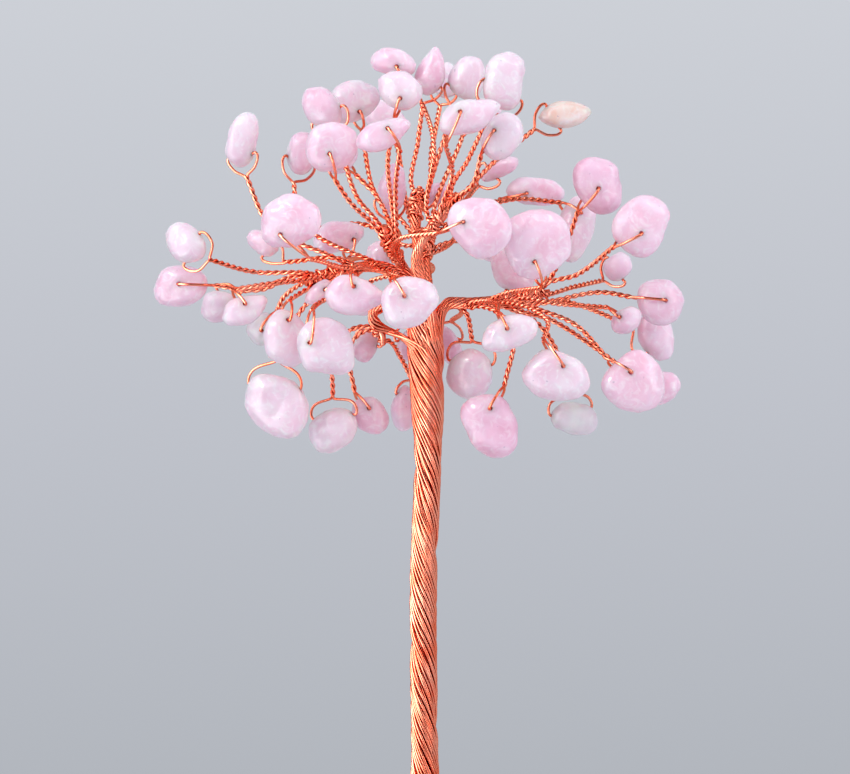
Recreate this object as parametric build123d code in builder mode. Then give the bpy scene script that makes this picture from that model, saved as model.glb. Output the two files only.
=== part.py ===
from build123d import *
import os
from collections import namedtuple
from math import ceil, cos, pi, radians, sin, sqrt

os.makedirs("parts", exist_ok=True)

# A gemstone tree: a trunk laid up from copper wires, limbs that part from it, and pairs of
# wires that leave the limbs as twigs. Each twig ends in a wire eye that goes through the hole
# drilled in a tumbled chip of rose quartz. The trunk's wires part again at its foot and grip a
# polished slab. The origin is the centre of the slab's underside, with +Z up and the front
# towards -Y.

# Driving sizes, in millimetres
crown_width = 100.0      # from the leftmost chip to the rightmost
crown_depth = 58.0       # from the front chips' centres to the back chips' centres
trunk_height = 106.0     # from the slab's top to where the limbs part
slab_length = 78.0
slab_width = 62.0
slab_thickness = 8.0
slab_edge_bevel = 1.0

# The trunk: strands laid left-handed round a core
trunk_radius = 2.55
trunk_spread_radius = 3.15    # where its wires first begin to spread
trunk_neck_radius = 3.45
trunk_top_radius = 3.95
trunk_foot_radius = 3.35
trunk_groove = 0.28
trunk_pitch = 33.0
trunk_strands = 15
foot_rise = 14.0         # height over the slab at which the roots part
levels_per_turn = 8      # sections in one turn of a rope's lay

# The limbs: smaller ropes that taper, and swell where their pairs of wires part
limb_radius = 1.10
limb_tip_radius = 0.85
limb_swell_radius = 1.30
limb_groove = 0.15
limb_pitch = 16.0
limb_strands = 5
limb_ring_radius = 2.50
limb_rise = 1.3          # how far a limb runs straight up before it turns

# The roots
root_radius = 0.95
root_ring_radius = 2.20
root_sides = 8
root_count = 6
root_knee_share = 0.55    # how far up its rise a root turns out, as a share
root_grip = 5.2          # how far a root reaches down the slab's edge

# The twigs, the eyes and the drilled holes
twig_width = 0.85
eye_radius = 0.30
hole_radius = 0.46
drill_reach = 20.0       # longer than any chip, so that the drill comes out
leave_pitch = 1.10       # from one twig's root to the next along a limb
seat_gap = 0.05
eye_gap = 0.62           # from a chip's surface to the middle of the wire round it
neck_rise = 0.75         # from the eye's shoulders to its neck

# A chip's edges are worn round by tumbling: shares of its width and of its thickness
rim_share = 0.20
rim_depth_share = 0.30

# The photograph's frame, in its pixels
Frame = namedtuple("Frame", "left right axis fork front back")
frame_px = Frame(left=153, right=683, axis=425, fork=318, front=-85, back=110)
scale = crown_width / (frame_px.right - frame_px.left)
depth_scale = crown_depth / (frame_px.back - frame_px.front)
fork_z = slab_thickness + trunk_height


def place(x, y, depth):
    """The point in the crown that stands at a pixel of the photograph, at a depth behind it."""
    return Vector((x - frame_px.axis) * scale, depth * depth_scale, fork_z + (frame_px.fork - y) * scale)


# A limb's radius along it: it tapers, and swells where its pairs of wires part
limb_radii = [(0.0, limb_radius), (0.6, limb_tip_radius), (0.85, limb_swell_radius), (1.0, limb_tip_radius)]

# Outlines of tumbled chips, in shares of their length and width
oval_shares = [(-0.5, -0.08), (-0.3, -0.42), (0.12, -0.5), (0.44, -0.26), (0.5, 0.14), (0.22, 0.46), (-0.26, 0.5)]
leaf_shares = [(-0.5, 0.02), (-0.3, -0.4), (0.06, -0.5), (0.5, 0.02), (0.16, 0.42), (-0.24, 0.5)]
wedge_shares = [(-0.5, -0.26), (-0.04, -0.5), (0.44, -0.3), (0.5, 0.12), (0.2, 0.48), (-0.3, 0.5)]
drop_shares = [(-0.5, 0.04), (-0.26, -0.44), (0.2, -0.5), (0.5, -0.1), (0.38, 0.38), (-0.12, 0.5)]
block_shares = [(-0.5, -0.3), (-0.26, -0.5), (0.34, -0.44), (0.5, -0.06), (0.38, 0.42), (-0.34, 0.5)]

# Each chip, in the photograph's pixels: its centre (x, y, depth), its size (length, width,
# thickness), the turn of its length up from level and of its face from the front in degrees,
# its outline, its hole (x, y), its twig's neck (x, y), whether it is drilled through its face
# or across, its twig's bends (x, y, depth), and how far it swings on its eye in degrees. A limb's
# chips stand in the order in which their twigs leave it.
Chip = namedtuple("Chip", "at size turn face shape hole neck drill bends swing")
through = "through"
across = "across"
oval, leaf, wedge, drop, block = oval_shares, leaf_shares, wedge_shares, drop_shares, block_shares

crown = {
    "left": [
        Chip((410, 303, -84), (58, 50, 30), 35, 10, wedge, (402, 297), (396, 287), through, [(402, 279, -56)], 0),
        Chip((356, 296, -60), (62, 40, 26), -5, -12, leaf, (357, 287), (354, 276), through, [(360, 266, -46)], 0),
        Chip((338, 236, 64), (56, 32, 28), 15, 20, oval, (349, 238), (347, 258), through, [], 0),
        Chip((301, 152, 25), (46, 28, 26), 80, 20, drop, (300, 160), (295, 176), across, [(300, 220, 12)], 0),
        Chip((290, 223, -60), (66, 54, 30), 20, -10, wedge, (284, 236), (312, 260), through, [], 20),
        Chip((325, 348, -60), (62, 56, 30), 100, 12, block, (308, 343), (313, 310), through, [(345, 289, -34), (320, 303, -43)], 15),
        Chip((319, 293, -30), (34, 20, 20), 40, 15, drop, (323, 290), (335, 280), through, [(342, 273, -26)], 0),
        Chip((262, 243, 10), (36, 22, 22), -35, -20, oval, (269, 249), (284, 262), across, [], 0),
        Chip((243, 140, -10), (57, 29, 32), 80, -15, oval, (241, 156), (245, 176), across, [(270, 225, -10)], 25),
        Chip((276, 405, -14), (76, 56, 30), -55, -18, drop, (281, 388), (284, 362), across, [(300, 312, -2), (285, 352, -6)], 15),
        Chip((287, 338, -32), (62, 46, 28), 100, 20, oval, (285, 320), (290, 300), through, [(310, 288, -14)], 0),
        Chip((263, 329, 25), (36, 30, 24), 60, -25, oval, (267, 330), (276, 314), through, [(285, 295, 14)], 0),
        Chip((246, 309, -32), (52, 28, 24), 30, 15, leaf, (243, 304), (233, 290), through, [(262, 285, -30)], 0),
        Chip((218, 306, 25), (40, 32, 24), 20, -20, oval, (224, 300), (236, 292), across, [(264, 286, 12)], 0),
        Chip((187, 243, -30), (48, 34, 28), 135, -22, oval, (194, 249), (210, 258), across, [(256, 272, -14)], 25),
        Chip((181, 286, -10), (56, 44, 28), 5, -18, oval, (184, 284), (209, 285), through, [(258, 290, -10)], 20),
    ],
    "upper_left": [
        Chip((479, 231, -85), (62, 56, 30), -60, -10, block, (465, 224), (437, 235), through, [(400, 240, -50)], 20),
        Chip((380, 252, 50), (28, 26, 24), 40, 20, oval, (384, 252), (402, 262), through, [], 0),
        Chip((392, 186, 70), (52, 26, 26), 85, 15, oval, (392, 200), (390, 214), across, [], 0),
        Chip((384, 136, -70), (60, 32, 26), 25, 10, leaf, (386, 131), (397, 146), through, [(396, 185, -45)], 0),
        Chip((399, 90, -15), (50, 38, 26), -30, -8, drop, (402, 99), (394, 120), through, [(388, 160, -14)], 0),
        Chip((352, 101, 40), (58, 44, 28), 20, 18, wedge, (355, 110), (362, 128), through, [(370, 180, 22)], 0),
        Chip((322, 106, 15), (50, 34, 26), -50, -15, oval, (328, 114), (335, 126), across, [(356, 195, 4)], 25),
        Chip((331, 148, -30), (56, 50, 28), 20, 12, oval, (327, 155), (332, 170), through, [(350, 202, -22)], 20),
    ],
    "centre": [
        Chip((438, 192, 85), (30, 24, 24), 20, 20, oval, (434, 194), (428, 202), through, [], 0),
        Chip((468, 77, 25), (46, 34, 26), 70, 10, oval, (463, 90), (455, 108), across, [(440, 150, 24)], 0),
        Chip((447, 77, 66), (38, 24, 24), 80, -15, leaf, (446, 88), (442, 102), across, [(432, 145, 42)], 0),
        Chip((431, 70, 20), (52, 28, 26), 75, -5, leaf, (429, 84), (425, 102), across, [(418, 140, 22)], 25),
    ],
    "upper_right": [
        Chip((577, 228, 35), (70, 38, 28), 75, 25, oval, (575, 212), (562, 202), through, [(510, 199, 14)], 0),
        Chip((393, 62, 14), (46, 28, 26), -10, -10, oval, (399, 66), (411, 84), through, [(434, 150, -22), (424, 108, 2)], 0),
        Chip((536, 190, 48), (60, 28, 26), -5, 12, oval, (524, 192), (502, 197), through, [(484, 206, 30)], 0),
        Chip((470, 118, -60), (66, 34, 28), 22, 8, leaf, (458, 114), (445, 146), through, [(452, 178, -30)], 20),
        Chip((500, 167, 42), (44, 20, 22), 28, -20, oval, (492, 171), (482, 180), across, [], 0),
        Chip((565, 114, 0), (54, 30, 26), 8, 12, leaf, (550, 113), (532, 124), across, [(490, 166, -6)], 25),
        Chip((503, 138, -38), (52, 38, 26), 60, -10, oval, (496, 132), (484, 150), through, [(472, 186, -26)], 0),
        Chip((505, 80, -14), (60, 38, 28), 80, 15, block, (502, 90), (489, 112), across, [(468, 160, -12)], 25),
    ],
    "right": [
        Chip((450, 345, 45), (44, 22, 24), -70, 15, oval, (449, 336), (452, 322), across, [], 0),
        Chip((470, 374, 10), (52, 44, 28), 80, -8, oval, (472, 362), (474, 343), across, [], 25),
        Chip((509, 333, -60), (62, 34, 28), 20, 6, oval, (505, 329), (497, 313), through, [(496, 304, -40)], 0),
        Chip((489, 424, -40), (70, 52, 30), -60, -10, wedge, (492, 408), (502, 390), through, [(512, 330, -26)], 20),
        Chip((514, 268, 40), (56, 40, 28), -60, 20, oval, (519, 276), (532, 288), across, [(534, 303, 22)], 0),
        Chip((537, 245, -60), (66, 64, 30), 30, 10, block, (531, 263), (540, 286), through, [], 20),
        Chip((556, 378, -50), (66, 50, 30), -15, 8, wedge, (560, 366), (549, 350), through, [(546, 320, -32)], 20),
        Chip((575, 419, 40), (48, 32, 26), -10, 18, oval, (575, 411), (572, 394), across, [(540, 325, 20), (566, 372, 32)], 0),
        Chip((634, 384, -30), (62, 60, 30), -30, 20, wedge, (624, 372), (606, 360), through, [(545, 312, -22), (575, 325, -30)], 20),
        Chip((660, 388, 14), (44, 34, 26), 20, -15, oval, (651, 384), (636, 376), across, [(552, 320, 6), (592, 345, 12)], 0),
        Chip((625, 320, -12), (34, 26, 24), 30, -10, oval, (621, 317), (609, 308), through, [(560, 304, -16)], 0),
        Chip((657, 337, 30), (52, 34, 26), -70, 25, oval, (652, 335), (634, 330), across, [(562, 300, 20), (600, 312, 24)], 0),
        Chip((661, 301, 0), (50, 46, 28), -60, 20, oval, (660, 300), (640, 298), through, [(600, 292, 0)], 0),
        Chip((620, 266, 40), (32, 26, 24), 60, -20, oval, (617, 269), (606, 277), across, [(575, 286, 22)], 0),
        Chip((641, 225, -32), (62, 48, 28), 60, 22, block, (634, 234), (611, 247), through, [(578, 274, -12)], 0),
        Chip((597, 185, -12), (64, 46, 28), -70, 15, oval, (594, 189), (581, 206), through, [(562, 255, -8)], 20),
    ],
    "lower_left": [
        Chip((407, 345, 45), (34, 20, 22), 80, 15, oval, (405, 337), (401, 326), across, [], 0),
        Chip((333, 430, 4), (54, 42, 28), 45, -10, oval, (337, 416), (335, 398), across, [(338, 340, 2)], 20),
        Chip((371, 415, 16), (42, 34, 26), -50, 12, oval, (366, 408), (354, 392), through, [(350, 345, 14)], 0),
        Chip((366, 347, 22), (32, 22, 22), 70, -10, oval, (367, 341), (371, 331), across, [], 0),
        Chip((405, 408, 30), (48, 26, 26), 85, 20, leaf, (404, 396), (409, 380), across, [(400, 356, 20)], 0),
    ],
    "back": [
        Chip((412, 305, 100), (50, 42, 28), 35, 10, oval, (415, 296), (420, 280), through, [], 0),
        Chip((352, 298, 95), (46, 36, 28), -20, -15, wedge, (358, 290), (370, 280), through, [], 0),
        Chip((490, 237, 105), (46, 40, 28), -50, 15, block, (480, 234), (464, 232), through, [], 0),
        Chip((545, 240, 90), (52, 44, 28), 30, 20, oval, (532, 240), (514, 238), through, [], 0),
        Chip((292, 222, 85), (52, 40, 28), 20, -20, oval, (304, 224), (322, 225), through, [(404, 244, 60), (362, 222, 86)], 0),
        Chip((335, 150, 98), (46, 40, 28), 30, -15, drop, (342, 158), (354, 170), through, [(396, 212, 88)], 0),
        Chip((385, 115, 108), (48, 34, 28), -30, -5, oval, (390, 124), (396, 140), through, [], 0),
        Chip((480, 110, 95), (52, 34, 28), 22, 12, leaf, (472, 116), (462, 134), through, [], 0),
    ],
}

# Each limb's place in the ring on the trunk's top, in sixths of a turn, and its route (x, y, depth)
limb_routes = {
    "left": (3, [(406, 284, -3), (390, 270, -6), (345, 270, -8), (302, 282, -10)]),
    "upper_left": (2, [(411, 284, 14), (400, 262, 10), (390, 244, 0), (384, 226, -8)]),
    "centre": (None, [(420, 270, 2), (416, 235, 8), (420, 186, 18)]),
    "upper_right": (5, [(423, 284, -13), (416, 262, -15), (427, 234, -14), (443, 213, -11), (457, 193, -8)]),
    "right": (0, [(446, 304, 0), (462, 303, 0), (490, 301, 0), (520, 298, 0), (550, 291, 0)]),
    "lower_left": (4, [(408, 304, -10), (389, 302, -8), (372, 314, -2), (380, 330, 2), (383, 345, 2)]),
    "back": (1, [(429, 290, 16), (426, 262, 34), (430, 225, 60)]),
}


def twisted_star(radius, groove, strands, turn):
    """The corners of a rope's section: a ridge for each strand, with a groove between."""
    corners = []
    for n in range(2 * strands):
        reach = radius - groove * (n % 2)
        angle = turn + pi * n / strands
        corners.append((reach * cos(angle), reach * sin(angle)))
    return corners


def radius_along(stations, share):
    """A rope's radius at a share of its length, straight between its stations (share, radius)."""
    for (low, r_low), (high, r_high) in zip(stations, stations[1:]):
        if share <= high:
            return r_low + (r_high - r_low) * (share - low) / (high - low)
    return stations[-1][1]


def laid_rope(route, stations, groove, strands, pitch):
    """A left-hand-laid rope that rises from a level foot: flat facets between turned sections."""
    count = ceil(route.length / pitch * levels_per_turn)
    rings = []
    for n in range(count + 1):
        share = n / count
        along = route % share if n else Vector(0, 0, 1)
        section = Plane(origin=route @ share, x_dir=(0, 1, 0), z_dir=along)
        turn = -2 * pi * share * route.length / pitch
        corners = twisted_star(radius_along(stations, share), groove, strands, turn)
        rings.append([section.from_local_coords(Vector(x, y)) for x, y in corners])
    facets = [Face(Wire.make_polygon(ring)) for ring in (rings[0], rings[-1])]
    for low, high in zip(rings, rings[1:]):
        for n in range(len(low)):
            facets.append(Face(Wire.make_polygon([low[n - 1], low[n], high[n]])))
            facets.append(Face(Wire.make_polygon([low[n - 1], high[n], high[n - 1]])))
    return Solid(Shell(facets))


def write(piece, name):
    piece.label = name
    export_step(piece, f"parts/{name}.step")


def chip_plane(chip):
    """A chip's own plane: its face's centre, level axis to the right, and face direction."""
    face = radians(chip.face)
    return Plane(origin=place(*chip.at), x_dir=(cos(face), sin(face), 0), z_dir=(sin(face), -cos(face), 0))


def chip_outline(chip):
    """The corners of a chip's outline in its own plane, turned up from level."""
    length, width, _ = (px * scale for px in chip.size)
    turn = radians(chip.turn)
    corners = [(x * length, y * width) for x, y in chip.shape]
    return [Vector(x * cos(turn) - y * sin(turn), x * sin(turn) + y * cos(turn)) for x, y in corners]


def reach(outline, start, way):
    """How far the outline lies from a point inside it, in one direction."""
    for a, b in zip(outline, outline[1:] + outline[:1]):
        side = b - a
        turn = way.X * side.Y - way.Y * side.X
        if turn > 0:
            along = ((a - start).X * side.Y - (a - start).Y * side.X) / turn
            spot = ((a - start).X * way.Y - (a - start).Y * way.X) / turn
            if along > 0 and 0 <= spot <= 1:
                return along
    raise ValueError("the start lies outside the outline")


def in_plane(chip, spot):
    """A pixel of the photograph as a point in the chip's own plane."""
    return Vector((spot[0] - chip.at[0]) * scale, (chip.at[1] - spot[1]) * scale)


def eye_points(chip):
    """The corners of the eye's loop in the chip's own plane, and the drilled hole's axis."""
    outline = chip_outline(chip)
    hole = in_plane(chip, chip.hole)
    pull = in_plane(chip, chip.neck) - hole
    way = pull.normalized()
    swings = [way.rotate(Axis.Z, angle) for angle in (-chip.swing, -chip.swing / 2, 0, chip.swing / 2, chip.swing)]
    thickness = chip.size[2] * scale
    if chip.drill == through:
        axis = Vector(0, 0, 1)
        near = max(reach(outline, hole, swing) for swing in swings) + eye_gap
        sides = (thickness / 2 + eye_gap, thickness / 2 + eye_gap)
    else:
        axis = Vector(-way.Y, way.X)
        near = reach(outline, hole, way) + eye_gap
        sides = (reach(outline, hole, axis) + eye_gap, reach(outline, hole, -axis) + eye_gap)
    neck = hole + way * max(pull.length, near + neck_rise)
    loop = [
        hole + axis * sides[0],
        hole + axis * sides[0] + way * near,
        neck,
        hole - axis * sides[1] + way * near,
        hole - axis * sides[1],
    ]
    return hole, axis, neck, loop


def make_chip(chip):
    """A tumbled chip: its outline, worn round at both faces, and drilled for the wire."""
    plane = chip_plane(chip)
    width = min(chip.size[0], chip.size[1]) * scale
    thickness = chip.size[2] * scale
    hole, axis, _, _ = eye_points(chip)
    drill_start = plane.from_local_coords(hole)
    drill_plane = Plane(origin=drill_start, z_dir=plane.from_local_coords(hole + axis) - drill_start)
    with BuildPart() as stone:
        with BuildSketch(plane):
            Polygon(*chip_outline(chip), align=None)
        extrude(amount=thickness / 2, both=True)
        for side in (0, -1):
            face = stone.faces().filter_by(plane).sort_by(Axis(plane.origin, plane.z_dir))[side]
            chamfer(face.edges(), length=rim_share * width, length2=rim_depth_share * thickness, reference=face)
        with BuildSketch(drill_plane):
            if chip.swing:
                Circle(hole_radius)
            else:
                RegularPolygon(hole_radius, 6)
        extrude(amount=drill_reach, both=True, mode=Mode.SUBTRACT)
    return stone.part


def limb_line(name):
    """A limb's route: straight up from its place on the trunk's top, then through its bends."""
    slot, bends = limb_routes[name]
    ring = 0 if slot is None else limb_ring_radius
    azimuth = 0 if slot is None else slot * pi / 3
    foot = Vector(ring * cos(azimuth), ring * sin(azimuth), fork_z + seat_gap)
    with BuildLine() as route:
        Spline(foot, foot + Vector(0, 0, limb_rise), *[place(*bend) for bend in bends])
    return route.edge()


def twig_route(chip, limb, back_from_tip):
    """A twig's points, from its root on the limb's side to the neck of its eye."""
    _, _, neck, _ = eye_points(chip)
    onward_points = [place(*bend) for bend in chip.bends] + [chip_plane(chip).from_local_coords(neck)]
    share = 1 - back_from_tip / limb.length
    spot = limb @ share
    along = limb % share
    onward = onward_points[0] - spot
    outward = (onward - along * onward.dot(along)).normalized()
    lean = abs(onward.normalized().dot(along))
    start = spot + outward * (radius_along(limb_radii, share) + seat_gap + twig_width / sqrt(2) * lean)
    return [start] + onward_points


def make_twig(chip, limb, back_from_tip):
    """A twig, with the eye that goes through its chip."""
    route = twig_route(chip, limb, back_from_tip)
    _, _, _, loop = eye_points(chip)
    loop = [chip_plane(chip).from_local_coords(corner) for corner in loop]
    with BuildPart() as twig:
        with BuildLine() as wire:
            Polyline(*route)
        with BuildSketch(Plane(origin=route[0], z_dir=route[1] - route[0])):
            Rectangle(twig_width, twig_width)
        sweep(path=wire.line, transition=Transition.RIGHT)
        with BuildLine() as eye:
            Polyline(*loop, close=True)
        with BuildSketch(Plane(origin=(loop[0] + loop[-1]) / 2, z_dir=loop[0] - loop[-1])):
            RegularPolygon(eye_radius, 3)
        sweep(path=eye.line, transition=Transition.RIGHT)
    return twig.part


# The slab: an irregular oval slice, knapped to flats all round, with its edges broken. Its rim's
# reach in eighteen directions is in shares of half its length and width.
rim_shares = [
    0.98, 1.0, 1.02, 1.03, 1.02, 0.99, 0.96, 0.97, 1.0,
    1.02, 1.01, 0.98, 0.97, 1.0, 1.03, 1.02, 0.98, 0.96,
]


def rim_corner(n):
    angle = 2 * pi * n / len(rim_shares)
    reach = rim_shares[n % len(rim_shares)]
    return Vector(reach * slab_length / 2 * cos(angle), reach * slab_width / 2 * sin(angle), 0)


with BuildPart() as base_slab:
    with BuildSketch():
        Polygon(*[rim_corner(n) for n in range(len(rim_shares))], align=None)
    extrude(amount=slab_thickness)
    chamfer(base_slab.edges().group_by(Axis.Z)[0] + base_slab.edges().group_by(Axis.Z)[-1], slab_edge_bevel)
write(base_slab.part, "base_slab")

# The trunk stands on the roots and leans very slightly either way, as the photograph shows it
with BuildLine() as trunk_route:
    Spline(
        (0, 0, slab_thickness + foot_rise),
        place(424, 700, 0),
        place(424, 560, 0),
        place(428, 440, 0),
        (0, 0, fork_z),
        tangents=[(0, 0, 1), (0, 0, 1)],
    )
trunk_stations = [
    (0.0, trunk_foot_radius),
    (0.07, trunk_radius),
    (0.73, trunk_radius),
    (0.82, trunk_spread_radius),
    (0.93, trunk_neck_radius),
    (1.0, trunk_top_radius),
]
trunk = laid_rope(trunk_route.edge(), trunk_stations, trunk_groove, trunk_strands, trunk_pitch)
write(trunk, "trunk")

# The roots: six ropes that part under the trunk's foot, run over the slab, and grip its edge
roots = []
for n in range(1, len(rim_shares), len(rim_shares) // root_count):
    rim = (rim_corner(n) + rim_corner(n + 1)) / 2
    out = rim.normalized()
    side = (rim_corner(n + 1) - rim_corner(n)).normalized()
    clear = (root_radius + seat_gap) / abs(out.cross(side).Z)
    over = clear * (sqrt(2) - 1)
    bed = slab_thickness + root_radius + seat_gap
    route = [
        out * root_ring_radius + Vector(0, 0, slab_thickness + foot_rise - seat_gap),
        out * root_ring_radius + Vector(0, 0, slab_thickness + foot_rise * root_knee_share),
        out * (root_ring_radius + foot_rise * root_knee_share) + Vector(0, 0, bed + root_radius),
        out * (rim.length / 2) + Vector(0, 0, bed),
        out * (rim.length - slab_edge_bevel + over) + Vector(0, 0, bed),
        out * (rim.length + clear) + Vector(0, 0, slab_thickness - slab_edge_bevel + over),
        out * (rim.length + clear) + Vector(0, 0, slab_thickness - root_grip),
    ]
    with BuildPart() as root:
        with BuildLine() as root_route:
            Polyline(*route)
        with BuildSketch(Plane(origin=route[0], x_dir=out, z_dir=(0, 0, -1))):
            RegularPolygon(root_radius, root_sides)
        sweep(path=root_route.line, transition=Transition.RIGHT)
    roots.append(root.part)
write(Compound(children=roots), "root_wires")


# The limbs, each with its twigs and its chips
for limb_name in limb_routes:
    limb = limb_line(limb_name)
    write(laid_rope(limb, limb_radii, limb_groove, limb_strands, limb_pitch), f"{limb_name}_limb")
    chips = crown[limb_name]
    twigs = []
    fixed_chips = []
    for n, chip in enumerate(chips):
        twigs.append(make_twig(chip, limb, (len(chips) - n) * leave_pitch))
        if chip.swing:
            write(make_chip(chip), f"{limb_name}_chip_{n + 1}")
        else:
            fixed_chips.append(make_chip(chip))
    write(Compound(children=twigs), f"{limb_name}_twigs")
    if fixed_chips:
        write(Compound(children=fixed_chips), f"{limb_name}_fixed_chips")
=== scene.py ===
import bpy
import bmesh
import random
from itertools import combinations
from math import atan2, ceil, cos, pi, radians, sin, sqrt, tau
from mathutils import Matrix, Vector
from mathutils.geometry import interpolate_bezier, intersect_point_line


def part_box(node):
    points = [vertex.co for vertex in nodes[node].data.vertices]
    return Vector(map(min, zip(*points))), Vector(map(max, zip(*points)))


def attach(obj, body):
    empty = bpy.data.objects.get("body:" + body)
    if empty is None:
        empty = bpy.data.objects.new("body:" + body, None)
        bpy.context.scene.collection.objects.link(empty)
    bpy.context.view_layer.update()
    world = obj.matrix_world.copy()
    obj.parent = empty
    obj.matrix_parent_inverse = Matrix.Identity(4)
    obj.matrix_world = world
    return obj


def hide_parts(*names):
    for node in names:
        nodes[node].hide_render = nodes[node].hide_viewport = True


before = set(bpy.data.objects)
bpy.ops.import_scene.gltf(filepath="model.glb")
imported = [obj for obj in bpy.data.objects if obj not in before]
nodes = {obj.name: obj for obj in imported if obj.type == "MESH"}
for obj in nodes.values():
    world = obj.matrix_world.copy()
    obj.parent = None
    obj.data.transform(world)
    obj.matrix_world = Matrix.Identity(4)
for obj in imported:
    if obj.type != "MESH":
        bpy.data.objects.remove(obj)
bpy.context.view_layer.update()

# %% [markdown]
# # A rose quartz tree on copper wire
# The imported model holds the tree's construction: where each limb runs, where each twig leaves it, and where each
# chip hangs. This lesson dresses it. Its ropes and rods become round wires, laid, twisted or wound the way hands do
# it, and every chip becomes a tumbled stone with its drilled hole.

MM = 0.001
limbs = sorted(name.removesuffix("_limb") for name in nodes if name.endswith("_limb"))
print("nodes", len(nodes), "limbs", limbs)


def only(*pieces):
    """Selects these pieces alone, since an operator acts on all that is selected."""
    bpy.ops.object.select_all(action="DESELECT")
    for piece in pieces:
        piece.select_set(True)
    bpy.context.view_layer.objects.active = pieces[0]


def new_piece(name, mesh):
    """A new object at the origin for a mesh."""
    piece = bpy.data.objects.new(name, mesh)
    bpy.context.scene.collection.objects.link(piece)
    return piece


SAME_SPOT = 0.0005 * MM  # corners closer than this are one corner


def open_merged(piece):
    """Opens a mesh to edit it, all of it selected and the corners that its faces share merged."""
    only(piece)
    bpy.ops.object.mode_set(mode="EDIT")
    bpy.ops.mesh.select_all(action="SELECT")
    bpy.ops.mesh.remove_doubles(threshold=SAME_SPOT)


def joined(pieces, name):
    """Several pieces made one."""
    only(*pieces)
    if len(pieces) > 1:
        bpy.ops.object.join()
    piece = bpy.context.view_layer.objects.active
    piece.name = name
    piece.data.name = name
    return piece


def finish_piece(piece, body, *replaced, slot):
    """Says which body a piece rides on and what it stands for. Its slot is not used."""
    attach(piece, body)
    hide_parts(*replaced)


# %% [markdown]
# ## The camera
# The picture was taken from the front, level with the crown, from far enough away that the trunk's sides stay
# parallel. A long lens from two metres does the same. The picture's scale is known from the crown: 530 of its
# 850 pixels across are 100 mm.

# %% The camera
PICTURE = (850, 774)
CROWN_WIDTH = 100 * MM
CROWN_PIXELS = 530
PIXEL = CROWN_WIDTH / CROWN_PIXELS
FORK_PIXEL = (425, 318)
FORK = Vector((0, 0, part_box("centre_limb")[0].z))
CAMERA_DISTANCE = 2.0
FARTHEST = 20.0
FILM = 36.0


def at_pixel(x, y):
    """The point in the tree's middle plane that stands at a pixel of the picture."""
    return FORK + Vector((x - FORK_PIXEL[0], 0, FORK_PIXEL[1] - y)) * PIXEL


centre = at_pixel(PICTURE[0] / 2, PICTURE[1] / 2)
bpy.ops.object.camera_add(location=centre - Vector((0, CAMERA_DISTANCE, 0)), rotation=(pi / 2, 0, 0))
camera = bpy.context.object
camera.name = "camera"
camera.data.sensor_width = FILM
camera.data.lens = FILM * CAMERA_DISTANCE / (PICTURE[0] * PIXEL)
camera.data.clip_end = FARTHEST
bpy.context.scene.camera = camera
print("lens", round(camera.data.lens, 1), "mm")

# %% [markdown]
# ## Reading the wires' lines from the frame
# Each wire in the frame is a rod or a rope whose skin is made of rings of corners. Walking the skin ring by ring,
# from its flat end, gives a line of ring centres, which is the wire's own line. A place read this way follows the
# construction when a size changes, where a typed one would not.

# %% Walking a skin
NEARLY_FLAT = radians(0.2)


def parts_of(node):
    """A node's skin with its doubles merged and its flats whole, and the corners of each of its solids."""
    skin = bmesh.new()
    skin.from_mesh(nodes[node].data)
    bmesh.ops.remove_doubles(skin, verts=skin.verts, dist=SAME_SPOT)
    bmesh.ops.dissolve_limit(skin, angle_limit=NEARLY_FLAT, verts=skin.verts, edges=skin.edges)
    left = set(skin.verts)
    parts = []
    while left:
        part = set()
        edge = {min(left, key=lambda v: v.index)}
        while edge:
            part |= edge
            left -= edge
            edge = {v for corner in edge for link in corner.link_edges for v in link.verts} & left
        parts.append(part)
    return skin, parts


def middle(ring):
    """The middle of a ring of corners, added up in one order so that every run gives the same."""
    return sum((v.co for v in sorted(ring, key=lambda v: v.index)), Vector()) / len(ring)


def rings_from(cap):
    """Ring after ring of corners, walked along the skin from a flat end."""
    ring = set(cap.verts)
    seen = set(ring)
    rings = []
    while ring:
        rings.append(ring)
        ring = {v for low in ring for link in low.link_edges for v in link.verts} - seen
        seen |= ring
    return rings


def rope_line(part, end):
    """A rope's ring centres and radii, from its lowest flat end (end = 1) or its highest (end = -1)."""
    faces = {face for v in part for face in v.link_faces}
    # A face with more than four corners is a flat end, and is put a metre ahead of the faces of the sides
    cap = min(faces, key=lambda face: end * face.calc_center_median().z - (len(face.verts) > 4))
    rings = rings_from(cap)
    line = [middle(ring) for ring in rings]
    radii = [max((v.co - spot).length for v in ring) for ring, spot in zip(rings, line)]
    return line, radii


skin, parts = parts_of("trunk")
trunk_line, trunk_radii = rope_line(parts[0], 1)
skin.free()
limb_lines = {}
for limb in limbs:
    skin, parts = parts_of(limb + "_limb")
    limb_lines[limb] = rope_line(parts[0], 1)
    skin.free()
skin, parts = parts_of("root_wires")
root_lines = [rope_line(part, -1)[0] for part in parts]
skin.free()
print("trunk", len(trunk_line), "rings,", len(root_lines), "roots")
for limb, (line, radii) in limb_lines.items():
    print(limb, len(line), "rings, up to", round(max(radii) / MM, 2), "mm")

# %% [markdown]
# A twig is a square rod with an eye at its end. Its rings have four corners, and the eye's wire has three, so the
# eye's four bends are the groups of three that are left when the rod has been walked. Where only three groups are
# found, the fourth bend is worked out from them when the eye is drawn.

# %% Reading the twigs
ROD_CORNERS = 4
EYE_CORNERS = 3
TWIG_AREA = (0.85 * MM) ** 2
AREA_SLACK = 0.03
NEAR_NECK = 1.2 * MM
BEND_REACHES = (0.9, 0.8, 0.7, 0.6, 1.0)  # mm, and the first that finds the most bends is used


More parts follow.
